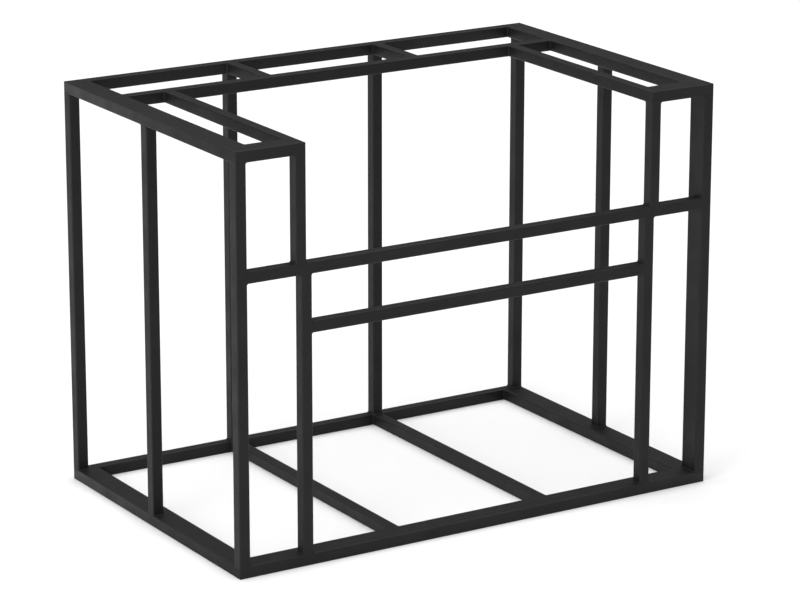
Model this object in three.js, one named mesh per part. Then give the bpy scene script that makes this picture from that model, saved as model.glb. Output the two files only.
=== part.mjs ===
// An open frame welded from square steel tube, with a U-shaped double-railed top.
// Millimetres. X runs from left to right, Y from front to back and Z up, from the middle of the footprint.
import * as THREE from 'three';

// Overall size
const overallWidth = 1193.8;
const overallDepth = 762;
const overallHeight = 914.4;

// Tube stock: the square tube, and the flat tube that is as thick as it and has this breadth
const tube = 25.4;
const flatTube = 50.8;
const wall = 1.65;
const insideCornerRadius = 0.8;

// Top: the breadth of each side wing, and of the ledge along the back
const wingWidth = 165.1;
const backLedgeDepth = 203.2;

// Front: the drop from the top to the front rail, the clear gap under that rail, and how far in the doorway
// posts stand from the frame's sides
const frontRailDrop = 254;
const lowerRailGap = 101.6;
const doorwayPostInset = 152.4;

// Sides and back: how far back the side posts' front faces stand, and the pitch of the two back posts and of
// the cross rails in line with them
const sidePostSetback = 381;
const backPostPitch = 381;

// Weld gap left between two tubes that meet
const weldGap = 0.3;

// Planes of the frame
const left = -overallWidth / 2;
const right = overallWidth / 2;
const front = -overallDepth / 2;
const back = overallDepth / 2;
const topUnderside = overallHeight - tube;
const frontRailTop = overallHeight - frontRailDrop;
const frontRailUnderside = frontRailTop - tube;
const lowerRailTop = frontRailUnderside - lowerRailGap;

// Levels and rows that several tubes share
const floorLevel = [0, tube];
const topLevel = [topUnderside, overallHeight];
const fullPost = [tube, topUnderside];
const frontRow = [front, front + tube];
const broadFrontRow = [front, front + flatTube];
const backRow = [back - tube, back];
const innerBackRow = [back - backLedgeDepth, back - backLedgeDepth + tube];

const frame = new THREE.Group();
frame.name = 'welded_tube_frame';

/** Matt dark grey powder coat, a new copy for each tube. */
function powderCoat() {
  return new THREE.MeshStandardMaterial({ color: 0x343537, roughness: 0.62, metalness: 0.15 });
}

/** Adds a rounded rectangle of the given size, centred on the origin, to a shape or a hole. */
function traceRoundedRectangle(path, width, height, radius) {
  const x = width / 2 - radius;
  const y = height / 2 - radius;
  const quarter = Math.PI / 2;
  path.absarc(x, y, radius, 0, quarter);
  path.absarc(-x, y, radius, quarter, 2 * quarter);
  path.absarc(-x, -y, radius, 2 * quarter, 3 * quarter);
  path.absarc(x, -y, radius, 3 * quarter, 4 * quarter);
  path.closePath();
  return path;
}

/** The tube's section: an outer outline with a hole one wall smaller all round. */
function tubeSection(width, height) {
  const outline = traceRoundedRectangle(new THREE.Shape(), width, height, insideCornerRadius + wall);
  const inside = [width - 2 * wall, height - 2 * wall];
  const bore = traceRoundedRectangle(new THREE.Path(), ...inside, insideCornerRadius);
  outline.holes.push(bore);
  return outline;
}

/**
 * A hollow tube along local Z, from 0 to its length. A trim cuts an end on a slant across local X: it is how
 * much shorter the tube is at its +X face than at its -X face, and a negative trim shortens the -X face.
 */
function tubeGeometry(width, height, length, startTrim, endTrim) {
  const geometry = new THREE.ExtrudeGeometry(tubeSection(width, height), {
    depth: length,
    bevelEnabled: false,
    curveSegments: 3,
  });
  const position = geometry.attributes.position;
  const trimAt = (trim, x) => trim * (x / width + Math.sign(trim) / 2);
  for (let i = 0; i < position.count; i += 1) {
    const x = position.getX(i);
    const atStart = position.getZ(i) < length / 2;
    position.setZ(i, atStart ? trimAt(startTrim, x) : length - trimAt(endTrim, x));
  }
  geometry.computeVertexNormals();
  return geometry;
}

const worldX = new THREE.Vector3(1, 0, 0);
const worldY = new THREE.Vector3(0, 1, 0);
const worldZ = new THREE.Vector3(0, 0, 1);

// Where local X, Y and Z of a tube point when its length lies along each axis of the frame
const tubeBasis = {
  x: [worldY, worldZ, worldX],
  y: [worldX, worldZ.clone().negate(), worldY],
  z: [worldX, worldY, worldZ],
};

/**
 * Adds one tube that fills the box given by its X, Y and Z spans, with its length along one axis. Each end
 * stands clear of its neighbour: by the weld gap at a square end, and by half of it at a mitred one.
 */
function addTube(name, along, spanX, spanY, spanZ, startTrim = 0, endTrim = 0) {
  const spans = { x: spanX, y: spanY, z: spanZ };
  const size = (axis) => spans[axis][1] - spans[axis][0];
  const middle = (axis) => (spans[axis][0] + spans[axis][1]) / 2;
  const width = { x: size('y'), y: size('x'), z: size('x') }[along];
  const height = { x: size('z'), y: size('z'), z: size('y') }[along];
  const setback = (trim) => (trim === 0 ? weldGap : (weldGap / 2) * Math.hypot(1, trim / width));
  const start = spans[along][0] + setback(startTrim);
  const length = spans[along][1] - setback(endTrim) - start;

  const mesh = new THREE.Mesh(tubeGeometry(width, height, length, startTrim, endTrim), powderCoat());
  mesh.name = name;
  mesh.quaternion.setFromRotationMatrix(new THREE.Matrix4().makeBasis(...tubeBasis[along]));
  mesh.position.set(middle('x'), middle('y'), middle('z'));
  mesh.position[along] = start;
  frame.add(mesh);
}

/** The X span of a tube on one side (-1 left, 1 right) whose outer face stands this far in from the side. */
function across(side, inset, width) {
  const outer = side < 0 ? left + inset : right - inset;
  return side < 0 ? [outer, outer + width] : [outer - width, outer];
}

/** The X span of a tube centred on the back posts' line on one side. */
function onBackPostLine(side) {
  const centre = (side * backPostPitch) / 2;
  return [centre - tube / 2, centre + tube / 2];
}

// Rails across the whole frame
addTube('bottom_front_rail', 'x', [left, right], broadFrontRow, floorLevel, flatTube, flatTube);
addTube('bottom_back_rail', 'x', [left, right], backRow, floorLevel, -flatTube, -flatTube);
addTube('top_back_rail', 'x', [left, right], backRow, topLevel, -flatTube, -flatTube);
addTube('top_inner_back_rail', 'x', [left + flatTube, right - flatTube], innerBackRow, topLevel);
addTube('front_rail', 'x', [left + tube, right - tube], frontRow, [frontRailUnderside, frontRailTop]);

const doorwayInside = doorwayPostInset + tube;
const lowerRailSpan = [left + doorwayInside, right - doorwayInside];
addTube('front_lower_rail', 'x', lowerRailSpan, frontRow, [lowerRailTop - tube, lowerRailTop]);

for (const [side, sideName] of [[-1, 'left'], [1, 'right']]) {
  const outside = across(side, 0, tube);
  const broadOutside = across(side, 0, flatTube);
  const innerRail = across(side, wingWidth - tube, tube);
  const backPost = onBackPostLine(side);
  const inward = -side;

  // Rails along each side: mitred into the front rail's full breadth and into the narrower back rail
  const mitreFront = inward * flatTube;
  const mitreBack = inward * tube;
  const mitres = [mitreFront, mitreBack];
  addTube(`bottom_side_rail_${sideName}`, 'y', broadOutside, [front, back], floorLevel, ...mitres);
  addTube(`top_side_rail_${sideName}`, 'y', broadOutside, [front, back], topLevel, ...mitres);

  // The wing's short front rail, mitred into the side rail outside and into the inner rail inside
  const wing = across(side, 0, wingWidth);
  const wingTrims = side < 0 ? [flatTube, tube] : [tube, flatTube];
  const innerRailRun = [front, innerBackRow[0]];
  addTube(`top_front_rail_${sideName}`, 'x', wing, broadFrontRow, topLevel, ...wingTrims);
  addTube(`top_inner_rail_${sideName}`, 'y', innerRail, innerRailRun, topLevel, -mitreFront);

  // Cross rails in the floor ring and in the back ledge, in line with the back posts
  addTube(`floor_cross_rail_${sideName}`, 'y', backPost, [front + flatTube, back - tube], floorLevel);
  addTube(`top_cross_rail_${sideName}`, 'y', backPost, [innerBackRow[1], back - tube], topLevel);

  // Posts: the front right one is flat tube with its broad side facing sideways
  const frontPostRow = side < 0 ? frontRow : broadFrontRow;
  const sidePostRow = [front + sidePostSetback, front + sidePostSetback + tube];
  addTube(`corner_post_front_${sideName}`, 'z', outside, frontPostRow, fullPost);
  addTube(`corner_post_back_${sideName}`, 'z', outside, backRow, fullPost);
  addTube(`side_post_${sideName}`, 'z', outside, sidePostRow, fullPost);
  addTube(`back_post_${sideName}`, 'z', backPost, backRow, fullPost);
  addTube(`bay_post_${sideName}`, 'z', innerRail, frontRow, [frontRailTop, topUnderside]);

  const doorwayPost = across(side, doorwayPostInset, tube);
  addTube(`doorway_post_${sideName}`, 'z', doorwayPost, frontRow, [tube, frontRailUnderside]);
}

export default frame;
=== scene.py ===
"""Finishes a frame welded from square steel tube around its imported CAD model.

Every CAD tube gets a powder-coated tube in its place that runs on until it meets its
neighbours. Weld beads fill the corners between the tubes, and a plain stage holds the floor,
the lights and the camera.
"""

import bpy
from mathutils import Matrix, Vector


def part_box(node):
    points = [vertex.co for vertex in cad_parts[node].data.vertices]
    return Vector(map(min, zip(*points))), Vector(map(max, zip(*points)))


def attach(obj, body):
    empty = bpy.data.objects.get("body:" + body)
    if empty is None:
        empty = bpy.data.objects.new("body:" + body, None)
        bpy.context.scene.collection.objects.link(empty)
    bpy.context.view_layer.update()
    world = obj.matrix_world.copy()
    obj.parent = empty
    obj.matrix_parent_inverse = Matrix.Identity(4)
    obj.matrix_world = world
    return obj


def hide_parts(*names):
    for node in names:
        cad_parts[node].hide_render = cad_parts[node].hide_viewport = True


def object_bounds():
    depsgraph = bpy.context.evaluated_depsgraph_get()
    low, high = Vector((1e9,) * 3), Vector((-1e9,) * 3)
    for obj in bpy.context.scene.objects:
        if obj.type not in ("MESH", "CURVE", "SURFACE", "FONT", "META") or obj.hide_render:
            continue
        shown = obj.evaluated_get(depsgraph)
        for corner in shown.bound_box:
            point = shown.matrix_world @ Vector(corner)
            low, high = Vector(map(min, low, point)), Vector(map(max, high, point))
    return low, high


bl_info = {
    "name": "Welded Tube Frame",
    "version": (1, 0, 0),
    "blender": (4, 5, 0),
    "location": "View3D > Sidebar > Tube Frame",
    "description": "Builds the tubes, the welds and the stage of a welded tube frame",
    "category": "Object",
}

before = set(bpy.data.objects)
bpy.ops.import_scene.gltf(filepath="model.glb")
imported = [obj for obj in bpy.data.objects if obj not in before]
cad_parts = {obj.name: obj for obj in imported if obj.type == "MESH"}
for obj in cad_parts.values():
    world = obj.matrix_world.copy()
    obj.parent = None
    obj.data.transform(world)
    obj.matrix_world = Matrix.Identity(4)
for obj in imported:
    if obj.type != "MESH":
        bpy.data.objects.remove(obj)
CAD_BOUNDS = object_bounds()

import math
import random

import bmesh
import bpy
from mathutils import Matrix, Vector

BODY = "root"
X, Y, Z = range(3)
MM = 0.001

# Two tubes meet where their CAD faces stand closer than this
MEETING_GAP = 0.6 * MM

# Rails that are mitred into each other: first the one along X, then the one along Y
MITRED_RAILS = [
    (f"{rail}{suffix}", f"{side_rail}_{side}")
    for side in ("left", "right")
    for rail, suffix, side_rail in (
        ("bottom_front_rail", "", "bottom_side_rail"),
        ("bottom_back_rail", "", "bottom_side_rail"),
        ("top_back_rail", "", "top_side_rail"),
        ("top_front_rail", f"_{side}", "top_side_rail"),
        ("top_front_rail", f"_{side}", "top_inner_rail"),
    )
]

FLOOR_RING = [name for name in sorted(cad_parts) if name.startswith(("bottom_", "floor_"))]
POSTS = [name for name in sorted(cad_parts) if "_post" in name]
FRONT_RAILS = [name for name in sorted(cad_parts) if name.startswith("front_")]
TOP_RAILS = [name for name in sorted(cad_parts) if name.startswith("top_")]


class TubeSettings(bpy.types.PropertyGroup):
    """Sizes of the tube that the CAD boxes don't give."""

    corner_radius: bpy.props.FloatProperty(
        name="Corner radius",
        description="Radius of the tube's long outer edges",
        default=2.45 * MM,
        unit="LENGTH",
    )
    wall: bpy.props.FloatProperty(
        name="Wall",
        description="Thickness of the tube's wall",
        default=1.65 * MM,
        unit="LENGTH",
    )
    corner_segments: bpy.props.IntProperty(
        name="Corner segments",
        description="Facets round each long edge",
        default=6,
    )
    # Over this strip the edges' lighter paint, part wear and part painted highlight, fades out
    flat_margin: bpy.props.FloatProperty(
        name="Flat margin",
        description="Breadth of the strip beside each rounded edge where the wear fades out",
        default=0.9 * MM,
        unit="LENGTH",
    )


class WeldSettings(bpy.types.PropertyGroup):
    """Sizes of the weld beads."""

    leg: bpy.props.FloatProperty(
        name="Leg",
        description="How far a fillet bead reaches up each face",
        default=2.3 * MM,
        unit="LENGTH",
    )
    crown: bpy.props.FloatProperty(
        name="Crown",
        description="How round a bead is, from flat at 0 to a quarter circle at 1",
        default=0.3,
        subtype="FACTOR",
    )
    ripple_pitch: bpy.props.FloatProperty(
        name="Ripple pitch",
        description="Distance between a bead's ripples",
        default=2.0 * MM,
        unit="LENGTH",
    )
    ripple_depth: bpy.props.FloatProperty(
        name="Ripple depth",
        description="How far the ripples swell and pinch the bead, as a share of its leg",
        default=0.07,
        subtype="FACTOR",
    )
    tip_sink: bpy.props.FloatProperty(
        name="Tip sink",
        description="How far the ground tips of mitred rails lie under the corner's weld metal",
        default=0.07 * MM,
        unit="LENGTH",
    )


class CoatSettings(bpy.types.PropertyGroup):
    """The powder coat."""

    colour: bpy.props.FloatVectorProperty(
        name="Colour",
        description="Colour of the coat",
        subtype="COLOR",
        default=(0.009, 0.009, 0.0093),
    )
    dusty_colour: bpy.props.FloatVectorProperty(
        name="Dusty colour",
        description="Colour of the coat where it is handled or dusty",
        subtype="COLOR",
        default=(0.0116, 0.0116, 0.0118),
    )
    # Lighter colour over the rounded edges: partly thin coat, partly a painted highlight along
    # the edges
    worn_and_highlight_colour: bpy.props.FloatVectorProperty(
        name="Worn colour",
        description="Colour of the coat where it runs thin over an edge",
        subtype="COLOR",
        default=(0.0155, 0.0155, 0.0158),
    )
    roughness: bpy.props.FloatProperty(
        name="Roughness",
        description="Middle roughness of the coat",
        default=0.5,
        subtype="FACTOR",
    )
    shine: bpy.props.FloatProperty(
        name="Shine",
        description="Strength of the coat's reflection, where 0.5 is that of clear lacquer",
        default=0.185,
        subtype="FACTOR",
    )
    peel_size: bpy.props.FloatProperty(
        name="Orange peel size",
        description="Distance between the coat's small waves",
        default=1.2 * MM,
        unit="LENGTH",
    )
    peel_height: bpy.props.FloatProperty(
        name="Orange peel height",
        description="Height of the coat's small waves",
        default=0.08 * MM,
        unit="LENGTH",
    )


class StageSettings(bpy.types.PropertyGroup):
    """The camera, the lights and the floor."""

    azimuth: bpy.props.FloatProperty(
        name="Azimuth",
        description="Angle of the camera round the frame, from straight in front",
        default=math.radians(-31.865),
        subtype="ANGLE",
    )
    elevation: bpy.props.FloatProperty(
        name="Elevation",
        description="Angle of the camera above the horizon",
        default=math.radians(16.193),
        subtype="ANGLE",
    )
    roll: bpy.props.FloatProperty(
        name="Roll",
        description="Tilt of the camera about its own axis",
        default=math.radians(0.049),
        subtype="ANGLE",
    )
    distance: bpy.props.FloatProperty(
        name="Distance",
        description="Distance from the camera to its aim",
        default=7.919,
        unit="LENGTH",
    )
    aim: bpy.props.FloatVectorProperty(
        name="Aim",
        description="Point that the camera looks at",
        default=(0.0166, -0.0217, 0.4237),
        subtype="XYZ",
        unit="LENGTH",
    )
    lens: bpy.props.FloatProperty(
        name="Focal length",
        description="Focal length in millimetres on a sensor 36 mm wide",
        default=161.09,
        unit="CAMERA",
    )
    key_place: bpy.props.FloatVectorProperty(
        name="Key light place",
        description="Where the key light hangs, to the left of the frame",
        default=(-4.4, -2.1, 1.3),
        subtype="XYZ",
        unit="LENGTH",
    )
    key_size: bpy.props.FloatProperty(
        name="Key light size",
        description="Side of the square key light",
        default=2.4,
        unit="LENGTH",
    )
    key_power: bpy.props.FloatProperty(
        name="Key light power",
        description="Power of the key light in watts",
        default=104.0,
        unit="POWER",
    )
    overhead_strength: bpy.props.FloatProperty(
        name="Overhead strength",
        description="Strength of the even light from above, in watts per square metre",
        default=3.36,
    )
    overhead_spread: bpy.props.FloatProperty(
        name="Overhead spread",
        description="Angle over which the light from above is spread, to soften its shadows",
        default=math.radians(115),
        subtype="ANGLE",
    )
    sky_strength: bpy.props.FloatProperty(
        name="Sky strength",
        description="Strength of the light from all round",
        default=0.06,
    )
    floor_size: bpy.props.FloatProperty(
        name="Floor size",
        description="Side of the square floor",
        default=60.0,
        unit="LENGTH",
    )
    floor_colour: bpy.props.FloatVectorProperty(
        name="Floor colour",
        description="Colour of the floor",
        subtype="COLOR",
        default=(0.95, 0.95, 0.95),
    )


# ---------------------------------------------------------------- how the tubes meet


def spans_point(low, high, point, axes):
    """True if the box holds the point along these axes."""
    return all(low[axis] <= point[axis] <= high[axis] for axis in axes)


class Tube:
    """One tube's box, run on until it meets its neighbours, with its mitres and square ends."""

    def __init__(self, name):
        self.name = name
        self.cad_low, self.cad_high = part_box(name)
        self.low, self.high = self.cad_low.copy(), self.cad_high.copy()
        self.run = max(range(3), key=lambda axis: self.high[axis] - self.low[axis])
        self.cross = [axis for axis in range(3) if axis != self.run]
        self.mitres = []
        self.mitred_ends = set()
        self.square_ends = []

    @property
    def centre(self):
        """The middle of the box."""
        return (self.low + self.high) / 2

    def run_on_to(self, end, place):
        """Moves an end, -1 for the low one and 1 for the high one, to a place on its run."""
        corner = self.low if end < 0 else self.high
        corner[self.run] = place

    def face(self, axis, end):
        """Where the CAD face on that side of an axis stands."""
        return (self.cad_low if end < 0 else self.cad_high)[axis]

    def overlaps(self, other, axes):
        """True if the two CAD boxes overlap by more than a meeting gap along these axes."""
        return all(
            min(self.cad_high[axis], other.cad_high[axis])
            - max(self.cad_low[axis], other.cad_low[axis])
            > MEETING_GAP
            for axis in axes
        )


def mitre_together(along_x, along_y):
    """Runs two rails on into their shared corner, mitres each and returns the corner."""
    end_x = 1 if along_y.centre[X] > along_x.centre[X] else -1
    end_y = 1 if along_x.centre[Y] > along_y.centre[Y] else -1
    tip = Vector((along_y.face(X, end_x), along_x.face(Y, end_y), 0))
    heel = Vector((along_y.face(X, -end_x), along_x.face(Y, -end_y), 0))
    seam = (heel - tip).normalized()
    normal = Vector((seam.y, -seam.x, 0))
    for tube, end, axis in ((along_x, end_x, X), (along_y, end_y, Y)):
        tube.run_on_to(end, tip[axis])
        tube.mitred_ends.add(end)
        away = normal if normal.dot(tube.centre - tip) < 0 else -normal
        tube.mitres.append({"tip": tip, "away": away, "outward": Vector((end_x, end_y, 0))})
    return {"tip": tip, "heel": heel, "ends": (end_x, end_y)}


def meet_square(tube, end, tubes):
    """Runs a square end on to the faces that it stands on, and notes where it meets them."""
    hosts = [
        other
        for other in tubes
        if other is not tube
        and other.overlaps(tube, tube.cross)
        and abs(other.face(tube.run, -end) - tube.face(tube.run, end)) < MEETING_GAP
    ]
    if not hosts:
        raise RuntimeError(f"{tube.name} meets nothing at its end {end}")
    place = hosts[0].face(tube.run, -end)
    tube.run_on_to(end, place)
    tube.square_ends.append((end, place))


def lay_out_tubes():
    """Every tube by name, and the mitred corners."""
    tubes = {name: Tube(name) for name in sorted(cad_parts)}
    corners = [mitre_together(tubes[a], tubes[b]) | {"rails": (a, b)} for a, b in MITRED_RAILS]
    for tube in tubes.values():
        for end in (-1, 1):
            if end not in tube.mitred_ends:
                meet_square(tube, end, tubes.values())
    return tubes, corners


TUBES, MITRED_CORNERS = lay_out_tubes()


# ---------------------------------------------------------------- materials

# Where a Mix node keeps the factor, the two colours and the mixed colour
MIX_COLOUR_INPUTS = (0, 6, 7)
MIX_COLOUR_OUTPUT = 2

# Size of the coat's patterns
MOTTLE_SIZE = 90 * MM
SPECK_SIZE = 3.5 * MM
WEAR_AND_HIGHLIGHT_PATCH_SIZE = 30 * MM
HANDLING_SIZE = 60 * MM
WELD_SCALE_SIZE = 1.2 * MM
FLOOR_CLOUD_SIZE = 1.5

# How far the roughness strays from its middle, falls where it is rubbed and rises on welds
ROUGHNESS_SWING = 0.07
RUBBED_SMOOTHER = 0.1
WELD_ROUGHER = 0.15

WELD_SCALE_HEIGHT = 0.12 * MM
FLOOR_ROUGHNESS = 0.9
FLOOR_CLOUD_CONTRAST = 1.02


class Nodes:
    """A material's node tree, with a short way to add a node and feed its inputs."""

    def __init__(self, name):
        self.material = bpy.data.materials.new(name)
        self.material.use_nodes = True
        self.tree = self.material.node_tree
        self.tree.nodes.clear()

    def add(self, kind, feeds=None, **settings):
        """Adds a node. Each feed is a value for an input, or a socket that is linked to it."""
        node = self.tree.nodes.new(kind)
        for key, value in settings.items():
            setattr(node, key, value)
        for key, value in (feeds or {}).items():
            socket = node.inputs[key]
            if isinstance(value, bpy.types.NodeSocket):
                self.tree.links.new(value, socket)
            else:
                socket.default_value = value
        return node

    def noise(self, size, detail=2.0, roughness=0.5):
        """Noise whose features are about this size, in metres, on Object coordinates."""
        place = self.add("ShaderNodeTexCoord").outputs["Object"]
        feeds = {"Vector": place, "Scale": 1 / size, "Detail": detail, "Roughness": roughness}
        return self.add("ShaderNodeTexNoise", feeds).outputs["Fac"]

    def spread(self, value, low, high, to_low=0.0, to_high=1.0):
        """The value's range from low to high, spread over another range and held inside it."""
        feeds = {"Value": value, "From Min": low, "From Max": high}
        feeds |= {"To Min": to_low, "To Max": to_high}
        return self.add("ShaderNodeMapRange", feeds).outputs["Result"]

    def mix_colour(self, factor, a, b):
        """Colour a where the factor is 0 and colour b where it is 1."""
        node = self.add("ShaderNodeMix", data_type="RGBA")
        for socket, value in zip(MIX_COLOUR_INPUTS, (factor, a, b)):
            if isinstance(value, bpy.types.NodeSocket):
                self.tree.links.new(value, node.inputs[socket])
            elif isinstance(value, float):
                node.inputs[socket].default_value = value
            else:
                node.inputs[socket].default_value = (*value, 1.0)
        return node.outputs[MIX_COLOUR_OUTPUT]

    def math(self, operation, a, b):
        """The sum, difference or product of two values."""
        node = self.add("ShaderNodeMath", operation=operation)
        for socket, value in zip(node.inputs, (a, b)):
            if isinstance(value, bpy.types.NodeSocket):
                self.tree.links.new(value, socket)
            else:
                socket.default_value = value
        return node.outputs[0]

    def finish(self, colour, roughness, normal=None, **constants):
        """Adds the shader and the output, and returns the material."""
        feeds = {"Base Color": colour, "Roughness": roughness}
        if normal is not None:
            feeds["Normal"] = normal
        shader = self.add("ShaderNodeBsdfPrincipled", feeds)
        for key, value in constants.items():
            shader.inputs[key.replace("_", " ")].default_value = value
        self.add("ShaderNodeOutputMaterial", {"Surface": shader.outputs[0]})
        return self.material


def powder_coat(settings):
    """Matt powder coat: orange peel, faint mottling and dust, and edges painted lighter, partly
    thin coat and partly a painted highlight.
    """
    nodes = Nodes("powder_coat")
    mottled = nodes.noise(MOTTLE_SIZE, detail=4.0, roughness=0.6)
    mottling = nodes.spread(mottled, low=0.38, high=0.66)
    specks = nodes.spread(nodes.noise(SPECK_SIZE, detail=3.0), low=0.6, high=0.74, to_high=0.5)
    dust = nodes.math("ADD", mottling, specks)
    coat = nodes.mix_colour(dust, settings.colour, settings.dusty_colour)

    # The rounded edges are painted lighter: wear where the coat runs thin, and a painted
    # highlight along the edges
    edge = nodes.add("ShaderNodeAttribute", attribute_name="edge").outputs["Fac"]
    patchy = nodes.noise(WEAR_AND_HIGHLIGHT_PATCH_SIZE, detail=5.0, roughness=0.6)
    patches = nodes.spread(patchy, low=0.3, high=0.75, to_low=0.15)
    wear_and_highlight = nodes.math("MULTIPLY", edge, patches)
    colour = nodes.mix_colour(wear_and_highlight, coat, settings.worn_and_highlight_colour)

    smoothest = settings.roughness - ROUGHNESS_SWING
    roughest = settings.roughness + ROUGHNESS_SWING
    handled = nodes.noise(HANDLING_SIZE, detail=3.0)
    handling = nodes.spread(handled, low=0.3, high=0.7, to_low=smoothest, to_high=roughest)
    rubbed = nodes.math("MULTIPLY", wear_and_highlight, RUBBED_SMOOTHER)
    roughness = nodes.math("SUBTRACT", handling, rubbed)

    peel = nodes.noise(settings.peel_size, detail=2.0, roughness=0.45)
    feeds = {"Height": peel, "Strength": 1.0, "Distance": settings.peel_height}
    bump = nodes.add("ShaderNodeBump", feeds).outputs["Normal"]
    return nodes.finish(colour, roughness, bump, Specular_IOR_Level=settings.shine)


def coated_weld(settings):
    """The same coat over weld metal: a little rougher, with scale and spatter under it."""
    nodes = Nodes("coated_weld")
    scale = nodes.noise(WELD_SCALE_SIZE, detail=4.0, roughness=0.65)
    tint = nodes.spread(scale, low=0.35, high=0.7)
    colour = nodes.mix_colour(tint, settings.colour, settings.dusty_colour)
    roughest = settings.roughness + WELD_ROUGHER
    smoothest = settings.roughness
    roughness = nodes.spread(scale, low=0.3, high=0.7, to_low=smoothest, to_high=roughest)
    feeds = {"Height": scale, "Strength": 0.5, "Distance": WELD_SCALE_HEIGHT}
    bump = nodes.add("ShaderNodeBump", feeds).outputs["Normal"]
    return nodes.finish(colour, roughness, bump, Specular_IOR_Level=settings.shine)


def pale_floor(settings):
    """A plain pale studio floor."""
    nodes = Nodes("pale_floor")
    cloud = nodes.spread(nodes.noise(FLOOR_CLOUD_SIZE), low=0.3, high=0.7)
    paler = [min(1.0, channel * FLOOR_CLOUD_CONTRAST) for channel in settings.floor_colour]
    colour = nodes.mix_colour(cloud, tuple(settings.floor_colour), tuple(paler))
    return nodes.finish(colour, FLOOR_ROUGHNESS)


def shared_material(name, make, settings):
    """The material of this name, made the first time that it is asked for."""
    return bpy.data.materials.get(name) or make(settings)


# ---------------------------------------------------------------- tubes

# Two points this close together count as one when a plane cuts a mesh
CUT_TOLERANCE = 1e-7

# Edges and faces whose directions agree by more than this cosine count as parallel
PARALLEL = 0.99

# A point that lies no deeper than this many edge radii belongs to the rounded edge
ON_THE_EDGE = 1.01

# Edges that turn further than this stay sharp
SHARPEST_SMOOTH_EDGE = math.radians(40)

# Directions of the flats that a mitre's tip is ground to, between one face and the other
TIP_FLATS = [math.radians(degrees) for degrees in (22.5, 45, 67.5)]


def add_piece(name, mesh, *materials):
    """Turns a finished bmesh into an object that rides on the frame."""
    data = bpy.data.meshes.new(name)
    mesh.to_mesh(data)
    mesh.free()
    for material in materials:
        data.materials.append(material)
    piece = bpy.data.objects.new(name, data)
    bpy.context.scene.collection.objects.link(piece)
    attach(piece, BODY)
    return piece


def smooth_round_edges(mesh):
    """Shades the mesh smooth except over its sharp edges."""
    for face in mesh.faces:
        face.smooth = True
    for edge in mesh.edges:
        edge.smooth = edge.is_manifold and edge.calc_face_angle(0) < SHARPEST_SMOOTH_EDGE


def cut_away(mesh, place, away):
    """Cuts off what lies beyond a plane, and returns the cut's edges."""
    geometry = mesh.verts[:] + mesh.edges[:] + mesh.faces[:]
    cut = bmesh.ops.bisect_plane(
        mesh,
        geom=geometry,
        dist=CUT_TOLERANCE,
        plane_co=place,
        plane_no=away,
        clear_outer=True,
    )
    return [item for item in cut["geom_cut"] if isinstance(item, bmesh.types.BMEdge)]


def score(mesh, place, normal):
    """Draws a loop of edges round the mesh where a plane crosses it."""
    geometry = mesh.verts[:] + mesh.edges[:] + mesh.faces[:]
    bmesh.ops.bisect_plane(
        mesh, geom=geometry, dist=CUT_TOLERANCE, plane_co=place, plane_no=normal
    )


def unit(axis, sign=1):
    """The unit vector along an axis."""
    return Vector([sign if i == axis else 0 for i in range(3)])


def bevel_edges(mesh, edges, radius, segments):
    """Rounds these edges."""
    bmesh.ops.bevel(
        mesh,
        geom=edges,
        offset=radius,
        affect="EDGES",
        segments=segments,
        profile=0.5,
        material=-1,
    )


def round_long_edges(mesh, along, settings):
    """Rounds a box's four edges that run this way."""
    long_edges = [
        edge
        for edge in mesh.edges
        if abs((edge.verts[0].co - edge.verts[1].co).normalized().dot(along)) > PARALLEL
    ]
    bevel_edges(mesh, long_edges, settings.corner_radius, settings.corner_segments)


def tube_shell(tube, settings):
    """A hollow tube with rounded long edges and open square ends, as a bmesh."""
    mesh = bmesh.new()
    size = tube.high - tube.low
    along = unit(tube.run)
    bmesh.ops.create_cube(mesh, size=1.0, matrix=Matrix.LocRotScale(tube.centre, None, size))
    round_long_edges(mesh, along, settings)
    mesh.normal_update()
    ends = [face for face in mesh.faces if abs(face.normal.dot(along)) > PARALLEL]
    bmesh.ops.delete(mesh, geom=ends, context="FACES_ONLY")
    margin = settings.corner_radius + settings.flat_margin
    for axis in tube.cross:
        for end, corner in ((-1, tube.low), (1, tube.high)):
            score(mesh, corner - unit(axis, end * margin), unit(axis))

    # The edge mask marks the rounded edges, which the coat paints lighter as wear and as a
    # painted highlight
    fade = mesh.verts.layers.float.new("edge")
    for vert in mesh.verts:
        insets = [
            min(vert.co[axis] - tube.low[axis], tube.high[axis] - vert.co[axis])
            for axis in tube.cross
        ]
        vert[fade] = 1.0 if max(insets) < settings.corner_radius * ON_THE_EDGE else 0.0

    bmesh.ops.recalc_face_normals(mesh, faces=mesh.faces[:])
    bmesh.ops.solidify(mesh, geom=mesh.faces[:], thickness=settings.wall)
    return mesh


def grind_tip(mesh, mitre, radius, sink):
    """Grinds a mitred end's sharp tip back in flats just under the corner's rounding."""
    outward = mitre["outward"]
    centre = mitre["tip"] - outward * radius
    for angle in TIP_FLATS:
        normal = Vector((outward.x * math.cos(angle), outward.y * math.sin(angle), 0))
        rim = cut_away(mesh, centre + normal * (radius - sink), normal)
        bmesh.ops.holes_fill(mesh, edges=rim, sides=0)


def build_tube(name, tube_settings, weld_settings, material):
    """Makes one coated tube, with its mitres, in the place of its CAD node."""
    tube = TUBES[name]
    mesh = tube_shell(tube, tube_settings)
    for mitre in tube.mitres:
        bmesh.ops.bridge_loops(mesh, edges=cut_away(mesh, mitre["tip"], mitre["away"]))
        grind_tip(mesh, mitre, tube_settings.corner_radius, weld_settings.tip_sink)
    smooth_round_edges(mesh)
    piece = add_piece(f"coated_{name}", mesh, material)
    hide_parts(name)
    return piece


# ---------------------------------------------------------------- welds

# Material of a bead, after the coat that the ground parts share with the tubes
BEAD_MATERIAL = 1

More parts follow.
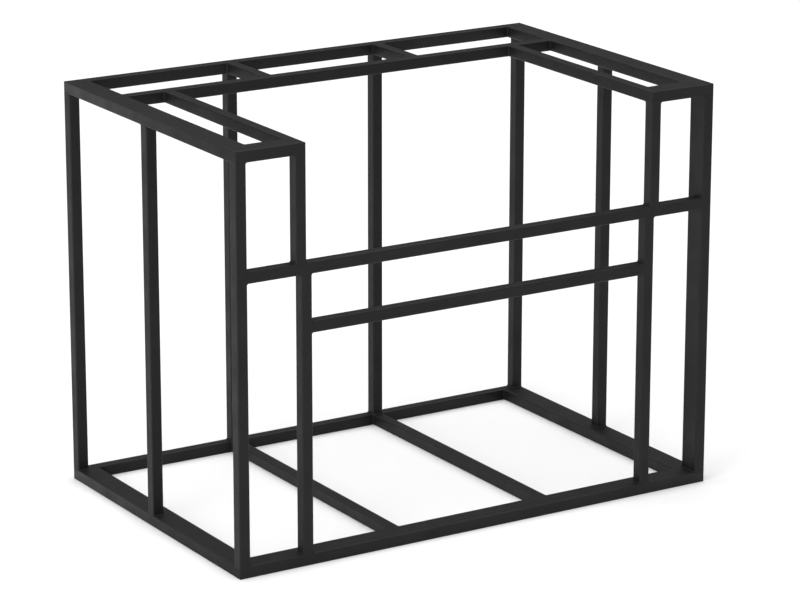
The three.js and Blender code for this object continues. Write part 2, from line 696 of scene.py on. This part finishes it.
# How finely beads are divided, along their length and round a tube's edge
BEAD_STEP = 0.5 * MM
FEWEST_BEAD_STEPS = 6
TURN_STEPS = 6

# A fillet bead's range of sizes, then in shares of its leg how deep it is buried, how far from
# its end it starts to fade and what it fades to
SMALLEST_BEAD = 0.94
LARGEST_BEAD = 1.06
BEAD_BURY = 0.15
BEAD_FADE = 0.7
BEAD_END = 0.3
CROWN_STEPS = 5

# How far a ripple's middle runs ahead of its edges, in radians
RIPPLE_LEAD = 1.2

# How far a fillet bead runs on under a bead that it joins, and how far short of a face it stops
BEAD_LAP = 0.2 * MM
BEAD_STOP = 0.45 * MM

# Ground weld metal: how proud of the tubes it stands, how deep and over what length its ends
# sink into them, and how far it laps over each side of a joint
GROUND_SKIN = 0.015 * MM
COLLAR_SINK = 0.03 * MM
COLLAR_RAMP = 1.2 * MM
COLLAR_LAP = 2 * MM

# How far from a tube's face a neighbour is looked for
PROBE = 2 * MM

# Breadth of a mitre's ground corner, in radii of the tube's edge
CORNER_BREADTH = 2.2

# The ridge that is left of a weld ground down along a mitre, which fades out at its ends
SEAM_HALF_BREADTH = 1.8 * MM
SEAM_RIDGE = 0.05 * MM
SEAM_BURY = 0.3 * MM
SEAM_FADE = 2 * MM
SEAM_END = 0.1
SEAM_RIPPLE = 0.05
SEAM_RIPPLE_PITCH = 1.7 * MM
SEAM_FACETS = 8

# How far from a tube's side a seam keeps, as a share of the edge's radius
SEAM_CLEARANCE = 0.85


def sweep_bead(section, length, shape):
    """A closed bead along local X. shape gives the swell at a place and an angle round it."""
    steps = max(FEWEST_BEAD_STEPS, round(length / BEAD_STEP))
    mesh = bmesh.new()
    ring = [mesh.verts.new((0, y, z)) for y, z in section]
    edges = [mesh.edges.new((a, b)) for a, b in zip(ring, ring[1:] + ring[:1])]
    advance = (length / steps, 0, 0)
    bmesh.ops.spin(
        mesh,
        geom=ring + edges,
        axis=(1, 0, 0),
        cent=(0, 0, 0),
        dvec=advance,
        angle=0,
        steps=steps,
    )
    for vert in mesh.verts:
        swell = shape(vert.co.x, math.atan2(vert.co.z, vert.co.y))
        vert.co.yz = vert.co.yz * swell
    return close_bead(mesh)


def close_bead(mesh):
    """Closes a swept bead's two open ends and turns its faces outwards."""
    bmesh.ops.holes_fill(mesh, edges=[edge for edge in mesh.edges if edge.is_boundary], sides=0)
    bmesh.ops.recalc_face_normals(mesh, faces=mesh.faces[:])
    return mesh


def mark_bead(mesh):
    """Gives every face of a bead the weld's material, not the coat of the ground parts."""
    for face in mesh.faces:
        face.material_index = BEAD_MATERIAL
    return mesh


def fillet_section(settings):
    """The outline of a fillet bead in the corner between local +Y and +Z."""
    leg, bury = settings.leg, BEAD_BURY * settings.leg
    section = [(-bury, -bury), (leg, -bury)]
    for step in range(CROWN_STEPS + 1):
        angle = math.radians(90) * step / CROWN_STEPS
        flat = 1 / (math.cos(angle) + math.sin(angle))
        reach = leg * (flat * (1 - settings.crown) + settings.crown)
        section.append((reach * math.cos(angle), reach * math.sin(angle)))
    section.append((-bury, leg))
    return section


def fillet_bead(length, settings, chance, fades):
    """A rippled fillet bead between local +Y and +Z. fades says whether each end fades out."""
    size, phase = chance.uniform(SMALLEST_BEAD, LARGEST_BEAD), chance.uniform(0, math.tau)
    fade = BEAD_FADE * settings.leg

    def shape(place, angle):
        turn = math.tau * place / settings.ripple_pitch + phase
        lead = math.sin(2 * min(max(angle, 0.0), math.pi / 2))
        ripple = 1 + settings.ripple_depth * math.sin(turn - RIPPLE_LEAD * lead)
        past_start = fade - place if fades[0] else 0.0
        past_end = place - (length - fade) if fades[1] else 0.0
        past = max(past_start, past_end, 0.0)
        return size * ripple * max(BEAD_END, math.sqrt(max(0.0, 1 - (past / fade) ** 2)))

    return mark_bead(sweep_bead(fillet_section(settings), length, shape))


def turned_bead(settings, corner, back, outward, next_outward, radius):
    """A fillet bead that turns a tube's rounded edge, from one side's direction to the next."""
    mesh = bmesh.new()
    ring = [
        mesh.verts.new(corner + back * y + outward * (radius + z))
        for y, z in fillet_section(settings)
    ]
    edges = [mesh.edges.new((a, b)) for a, b in zip(ring, ring[1:] + ring[:1])]
    axis = outward.cross(next_outward)
    bmesh.ops.spin(
        mesh,
        geom=ring + edges,
        axis=axis,
        cent=corner,
        dvec=(0, 0, 0),
        angle=math.radians(90),
        steps=TURN_STEPS,
    )
    return mark_bead(close_bead(mesh))


def add_mesh(target, source, turn=None, place=None):
    """Adds a bmesh to another, with its local X, Y and Z along the three directions of turn."""
    if turn:
        move = Matrix.Translation(place) @ Matrix(turn).transposed().to_4x4()
        bmesh.ops.transform(source, matrix=move, verts=source.verts[:])
        bmesh.ops.recalc_face_normals(source, faces=source.faces[:])
    data = bpy.data.meshes.new("part_of_weld")
    source.to_mesh(data)
    source.free()
    target.from_mesh(data)
    bpy.data.meshes.remove(data)


def ground_collar(tube, end, place, settings):
    """The ground weld metal that carries a tube's section on over the host's rounded edges."""
    low, high = tube.low.copy(), tube.high.copy()
    near = place - end * COLLAR_LAP
    far = place + end * (settings.corner_radius + COLLAR_LAP)
    low[tube.run], high[tube.run] = sorted((near, far))
    centre = (low + high) / 2
    size = high - low
    for axis in tube.cross:
        size[axis] += 2 * GROUND_SKIN
    mesh = bmesh.new()
    bmesh.ops.create_cube(mesh, size=1.0, matrix=Matrix.LocRotScale(centre, None, size))
    round_long_edges(mesh, unit(tube.run), settings)
    inset = unit(tube.run) * (size[tube.run] / 2 - COLLAR_RAMP)
    for mark in (centre - inset, centre + inset):
        score(mesh, mark, unit(tube.run))
    tips = [
        vert
        for vert in mesh.verts
        if abs(vert.co[tube.run] - centre[tube.run]) > inset.length + COLLAR_SINK
    ]
    shrink = Vector(
        [1 if axis == tube.run else 1 - 2 * COLLAR_SINK / size[axis] for axis in range(3)]
    )
    bmesh.ops.scale(mesh, vec=shrink, space=Matrix.Translation(-centre), verts=tips)
    return mesh


def covered(point, axis, place, end):
    """True if a tube's face that looks towards -end along the axis covers the point."""
    cross = [other for other in range(3) if other != axis]
    return any(
        abs(tube.face(axis, -end) - place) < MEETING_GAP
        and spans_point(tube.cad_low, tube.cad_high, point, cross)
        for tube in TUBES.values()
    )


def weld_square_end(mesh, tube, end, place, tube_settings, weld_settings, chance):
    """Adds the welds round a square end: fillets in inner corners, ground metal elsewhere."""
    radius = tube_settings.corner_radius
    middle = tube.centre
    middle[tube.run] = place
    back = unit(tube.run, -end)
    first, second = tube.cross
    sides = [unit(first), unit(second), unit(first, -1), unit(second, -1)]
    half = [(tube.high[axis] - tube.low[axis]) / 2 for axis in (first, second, first, second)]
    inner = [
        covered(middle + side * (reach + PROBE), tube.run, place, end)
        for side, reach in zip(sides, half)
    ]
    if not all(inner):
        add_mesh(mesh, ground_collar(tube, end, place, tube_settings))
    for i, side in enumerate(sides):
        if not inner[i]:
            continue
        along = sides[(i + 1) % 4]
        joins = inner[i - 1], inner[(i + 1) % 4]
        overrun = [BEAD_LAP if joined else radius - BEAD_STOP for joined in joins]
        straight = half[(i + 1) % 4] - radius
        start = middle + side * half[i] - along * (straight + overrun[0])
        length = 2 * straight + sum(overrun)
        bead = fillet_bead(length, weld_settings, chance, [not joined for joined in joins])
        add_mesh(mesh, bead, (along, back, side), start)
        if joins[1]:
            corner = middle + side * (half[i] - radius) + along * straight
            add_mesh(mesh, turned_bead(weld_settings, corner, back, side, along, radius))


def build_welds(name, tube_settings, weld_settings, materials):
    """Makes the welds at a tube's square ends."""
    tube = TUBES[name]
    chance = random.Random(f"welds of {name}")
    mesh = bmesh.new()
    for end, place in tube.square_ends:
        weld_square_end(mesh, tube, end, place, tube_settings, weld_settings, chance)
    smooth_round_edges(mesh)
    return add_piece(f"welds_{name}", mesh, *materials)


def ground_seam(length):
    """The faint ridge of a weld ground down along a mitre, along local X with +Z out."""
    half = SEAM_HALF_BREADTH
    angles = [math.pi * step / SEAM_FACETS for step in range(SEAM_FACETS + 1)]
    section = [(half * math.cos(angle), SEAM_RIDGE * math.sin(angle)) for angle in angles]
    section += [(-half, -SEAM_BURY), (half, -SEAM_BURY)]

    def shape(place, angle):
        past = max(SEAM_FADE - place, place - (length - SEAM_FADE), 0.0) / SEAM_FADE
        ripple = 1 + SEAM_RIPPLE * math.sin(math.tau * place / SEAM_RIPPLE_PITCH)
        return ripple * max(SEAM_END, math.sqrt(max(0.0, 1 - past * past)))

    return sweep_bead(section, length, shape)


def build_corner_weld(corner, tube_settings, weld_settings, materials):
    """Makes a mitre's welds: the ground outer corner, the ground seams and the inner fillet."""
    rails = [TUBES[name] for name in corner["rails"]]
    low, high = rails[0].low[Z], rails[0].high[Z]
    end_x, end_y = corner["ends"]
    radius = tube_settings.corner_radius
    breadth = CORNER_BREADTH * radius
    level = (low + high) / 2
    tip = Vector((corner["tip"].x, corner["tip"].y, level))
    heel = Vector((corner["heel"].x, corner["heel"].y, level))

    mesh = bmesh.new()
    outward = Vector((end_x, end_y, 0))
    centre = tip - outward * (GROUND_SKIN + breadth / 2)
    size = Vector((breadth, breadth, high - low - 2 * GROUND_SKIN))
    bmesh.ops.create_cube(mesh, size=1.0, matrix=Matrix.LocRotScale(centre, None, size))
    outer = [
        edge
        for edge in mesh.edges
        if all((vert.co - centre).dot(outward) > breadth / 2 for vert in edge.verts)
        or abs(edge.verts[0].co.z - edge.verts[1].co.z) < GROUND_SKIN
    ]
    bevel_edges(mesh, outer, radius, tube_settings.corner_segments)

    chance = random.Random(" and ".join(corner["rails"]))
    length = high - low - 2 * BEAD_STOP
    bead = fillet_bead(length, weld_settings, chance, (True, True))
    start = heel - unit(Z, length / 2)
    add_mesh(mesh, bead, (unit(Z), unit(X, -end_x), unit(Y, -end_y)), start)

    seam = heel - tip
    along = seam.normalized()
    shallow, steep = sorted((abs(along.x), abs(along.y)))
    clear = (SEAM_CLEARANCE * radius + SEAM_HALF_BREADTH * steep) / shallow
    stands_on_floor = low < CAD_BOUNDS[0].z + MEETING_GAP
    for sign in (1,) if stands_on_floor else (-1, 1):
        start = tip + along * clear + unit(Z, sign * (high - low) / 2)
        turn = (along, unit(Z, sign).cross(along), unit(Z, sign))
        add_mesh(mesh, ground_seam(seam.length - 2 * clear), turn, start)

    smooth_round_edges(mesh)
    rail_names = [name.removesuffix("_left").removesuffix("_right") for name in corner["rails"]]
    side = "left" if tip.x < 0 else "right"
    return add_piece(f"corner_weld_{'_'.join(rail_names)}_{side}", mesh, *materials)


# ---------------------------------------------------------------- operators

# Height of the light from above and the camera's farthest view in metres, and the width of the
# camera's sensor in millimetres
SUN_HEIGHT = 5
FARTHEST_VIEW = 100
SENSOR_WIDTH = 36


def build_tubes(names, scene):
    """Makes the coated tubes of these names."""
    if not names:
        raise RuntimeError("the frame has none of these tubes")
    coat = shared_material("powder_coat", powder_coat, scene.frame_coat)
    for name in names:
        build_tube(name, scene.frame_tubes, scene.frame_welds, coat)


class TUBE_FRAME_OT_floor_ring(bpy.types.Operator):
    """Makes the floor ring and its cross rails"""

    bl_idname = "tube_frame.floor_ring"
    bl_label = "Floor ring"
    bl_options = {"REGISTER", "UNDO"}

    def execute(self, context):
        build_tubes(FLOOR_RING, context.scene)
        return {"FINISHED"}


class TUBE_FRAME_OT_posts(bpy.types.Operator):
    """Makes the upright posts"""

    bl_idname = "tube_frame.posts"
    bl_label = "Posts"
    bl_options = {"REGISTER", "UNDO"}

    def execute(self, context):
        build_tubes(POSTS, context.scene)
        return {"FINISHED"}


class TUBE_FRAME_OT_front_rails(bpy.types.Operator):
    """Makes the two rails across the front"""

    bl_idname = "tube_frame.front_rails"
    bl_label = "Front rails"
    bl_options = {"REGISTER", "UNDO"}

    def execute(self, context):
        build_tubes(FRONT_RAILS, context.scene)
        return {"FINISHED"}


class TUBE_FRAME_OT_top_rails(bpy.types.Operator):
    """Makes the double rails and the cross rails of the U-shaped top"""

    bl_idname = "tube_frame.top_rails"
    bl_label = "Top rails"
    bl_options = {"REGISTER", "UNDO"}

    def execute(self, context):
        build_tubes(TOP_RAILS, context.scene)
        return {"FINISHED"}


def weld_materials(settings):
    """The coat of a weld's ground parts, and the coat of its beads."""
    return (
        shared_material("powder_coat", powder_coat, settings),
        shared_material("coated_weld", coated_weld, settings),
    )


class TUBE_FRAME_OT_end_welds(bpy.types.Operator):
    """Makes the welds round the tubes' square ends"""

    bl_idname = "tube_frame.end_welds"
    bl_label = "End welds"
    bl_options = {"REGISTER", "UNDO"}

    def execute(self, context):
        scene = context.scene
        materials = weld_materials(scene.frame_coat)
        for name, tube in TUBES.items():
            if tube.square_ends:
                build_welds(name, scene.frame_tubes, scene.frame_welds, materials)
        return {"FINISHED"}


class TUBE_FRAME_OT_corner_welds(bpy.types.Operator):
    """Makes the welds of the mitred corners"""

    bl_idname = "tube_frame.corner_welds"
    bl_label = "Corner welds"
    bl_options = {"REGISTER", "UNDO"}

    def execute(self, context):
        scene = context.scene
        materials = weld_materials(scene.frame_coat)
        for corner in MITRED_CORNERS:
            build_corner_weld(corner, scene.frame_tubes, scene.frame_welds, materials)
        return {"FINISHED"}


def aim_at(thing, target, roll=0.0):
    """Turns a camera or a light so that it looks at a point."""
    look = (Vector(target) - thing.location).to_track_quat("-Z", "Y").to_matrix().to_4x4()
    thing.rotation_euler = (look @ Matrix.Rotation(roll, 4, "Z")).to_euler()


def add_light(name, kind, place, target, energy):
    """Adds a light of this kind that faces the target, and returns its data."""
    data = bpy.data.lights.new(name, kind)
    data.energy = energy
    light = bpy.data.objects.new(name, data)
    light.location = place
    bpy.context.scene.collection.objects.link(light)
    aim_at(light, target)
    return data


class TUBE_FRAME_OT_stage(bpy.types.Operator):
    """Makes the floor, the lights, the sky and the camera"""

    bl_idname = "tube_frame.stage"
    bl_label = "Stage"
    bl_options = {"REGISTER", "UNDO"}

    def execute(self, context):
        scene = context.scene
        settings = scene.frame_stage

        mesh = bmesh.new()
        bmesh.ops.create_grid(mesh, x_segments=1, y_segments=1, size=settings.floor_size / 2)
        data = bpy.data.meshes.new("floor")
        mesh.to_mesh(data)
        mesh.free()
        data.materials.append(shared_material("pale_floor", pale_floor, settings))
        floor = bpy.data.objects.new("floor", data)
        scene.collection.objects.link(floor)

        middle = Vector((CAD_BOUNDS[0].x + CAD_BOUNDS[1].x, 0, CAD_BOUNDS[1].z)) / 2
        key = add_light("key_light", "AREA", settings.key_place, middle, settings.key_power)
        key.size = settings.key_size
        above = (0, 0, SUN_HEIGHT)
        overhead = add_light("overhead_light", "SUN", above, middle, settings.overhead_strength)
        overhead.angle = settings.overhead_spread

        world = bpy.data.worlds.new("studio")
        world.use_nodes = True
        background = world.node_tree.nodes["Background"]
        background.inputs["Color"].default_value = (1, 1, 1, 1)
        background.inputs["Strength"].default_value = settings.sky_strength
        scene.world = world
        scene.view_settings.view_transform = "Standard"

        camera_data = bpy.data.cameras.new("camera")
        camera_data.sensor_width = SENSOR_WIDTH
        camera_data.lens = settings.lens
        camera_data.clip_end = FARTHEST_VIEW
        camera = bpy.data.objects.new("camera", camera_data)
        turn, lift = settings.azimuth, settings.elevation
        level = math.cos(lift)
        back = Vector((math.sin(turn) * level, -math.cos(turn) * level, math.sin(lift)))
        camera.location = Vector(settings.aim) + back * settings.distance
        scene.collection.objects.link(camera)
        aim_at(camera, settings.aim, settings.roll)
        scene.camera = camera
        return {"FINISHED"}


class TUBE_FRAME_PT_panel(bpy.types.Panel):
    """Lists the frame's settings and the steps that build it"""

    bl_idname = "TUBE_FRAME_PT_panel"
    bl_label = "Tube Frame"
    bl_space_type = "VIEW_3D"
    bl_region_type = "UI"
    bl_category = "Tube Frame"

    def draw(self, context):
        for group, label, kinds in SECTIONS:
            box = self.layout.box()
            box.label(text=label)
            settings = getattr(context.scene, group)
            for key in type(settings).__annotations__:
                box.prop(settings, key)
            for kind in kinds:
                box.operator(kind.bl_idname)


TUBE_OPERATORS = (
    TUBE_FRAME_OT_floor_ring,
    TUBE_FRAME_OT_posts,
    TUBE_FRAME_OT_front_rails,
    TUBE_FRAME_OT_top_rails,
)
WELD_OPERATORS = (TUBE_FRAME_OT_end_welds, TUBE_FRAME_OT_corner_welds)
SECTIONS = (
    ("frame_coat", "Powder coat", ()),
    ("frame_tubes", "Tubes", TUBE_OPERATORS),
    ("frame_welds", "Welds", WELD_OPERATORS),
    ("frame_stage", "Stage", (TUBE_FRAME_OT_stage,)),
)
SETTINGS = {
    "frame_tubes": TubeSettings,
    "frame_welds": WeldSettings,
    "frame_coat": CoatSettings,
    "frame_stage": StageSettings,
}
CLASSES = (
    *SETTINGS.values(),
    *TUBE_OPERATORS,
    *WELD_OPERATORS,
    TUBE_FRAME_OT_stage,
    TUBE_FRAME_PT_panel,
)


def register():
    """Registers the classes and hangs the settings on the scene."""
    for kind in CLASSES:
        bpy.utils.register_class(kind)
    for name, group in SETTINGS.items():
        setattr(bpy.types.Scene, name, bpy.props.PointerProperty(type=group))


def unregister():
    """Takes the settings off the scene and unregisters the classes."""
    for name in SETTINGS:
        delattr(bpy.types.Scene, name)
    for kind in reversed(CLASSES):
        bpy.utils.unregister_class(kind)


def main():
    """Builds the whole frame and its stage."""
    register()
    bpy.ops.tube_frame.floor_ring()
    bpy.ops.tube_frame.posts()
    bpy.ops.tube_frame.front_rails()
    bpy.ops.tube_frame.top_rails()
    bpy.ops.tube_frame.end_welds()
    bpy.ops.tube_frame.corner_welds()
    bpy.ops.tube_frame.stage()


if __name__ == "__main__":
    main()
